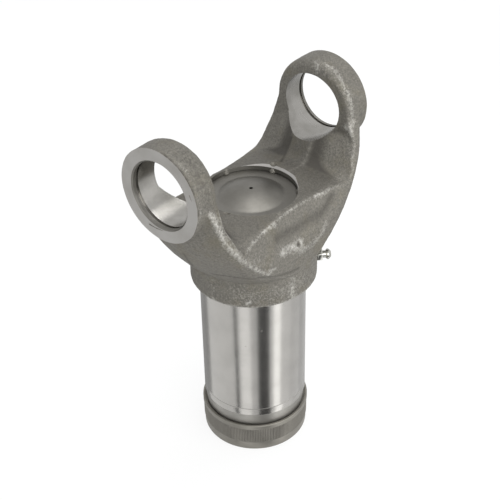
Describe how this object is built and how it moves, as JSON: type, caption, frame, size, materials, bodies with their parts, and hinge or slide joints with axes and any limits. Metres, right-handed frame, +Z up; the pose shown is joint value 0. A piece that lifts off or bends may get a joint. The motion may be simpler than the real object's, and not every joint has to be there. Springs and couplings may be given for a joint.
{
  "type": "propeller shaft slip yoke",
  "caption": "Forged sliding yoke with two bored ears, a splined ground sleeve, a plugged saddle, a grease fitting and a knurled dust cap.",
  "frame": {"origin": "centre of the dust cap's lower face, on the sleeve's axis", "axes": "+Z up the sleeve towards the ears, +X along the axis of the two cross bores, +Y across them; the grease fitting points to +X and -Y"},
  "size_m": [0.1454, 0.0758, 0.2328],
  "materials": {
    "forged_steel": "shot-blasted forging skin, with ground sleeve and machined ears",
    "pressed_steel": "dull pressed sheet",
    "plated_steel": "bright zinc plating",
    "bearing_steel": "polished ball",
    "spring_steel": "drawn wire",
    "cap_steel": "dull steel with a fine knurl",
    "washer_steel": "plain steel",
    "cork": "pressed cork"
  },
  "bodies": {
    "forging": {"yoke": "forged_steel", "core_plug": "pressed_steel", "grease_fitting": "plated_steel", "check_spring": "spring_steel", "dust_cap": "cap_steel", "seal_washer": "washer_steel", "cork_seal": "cork"},
    "ball": {"check_ball": "bearing_steel"}
  },
  "joints": [
    {"name": "check_ball_lift", "type": "slide", "parent": "forging", "child": "ball", "axis": [-0.7071, 0.7071, 0], "range_m": [0, 0.001], "stiffness_N_per_m": 600, "springref_m": -0.0005, "deforming": ["check_spring"]}
  ]
}
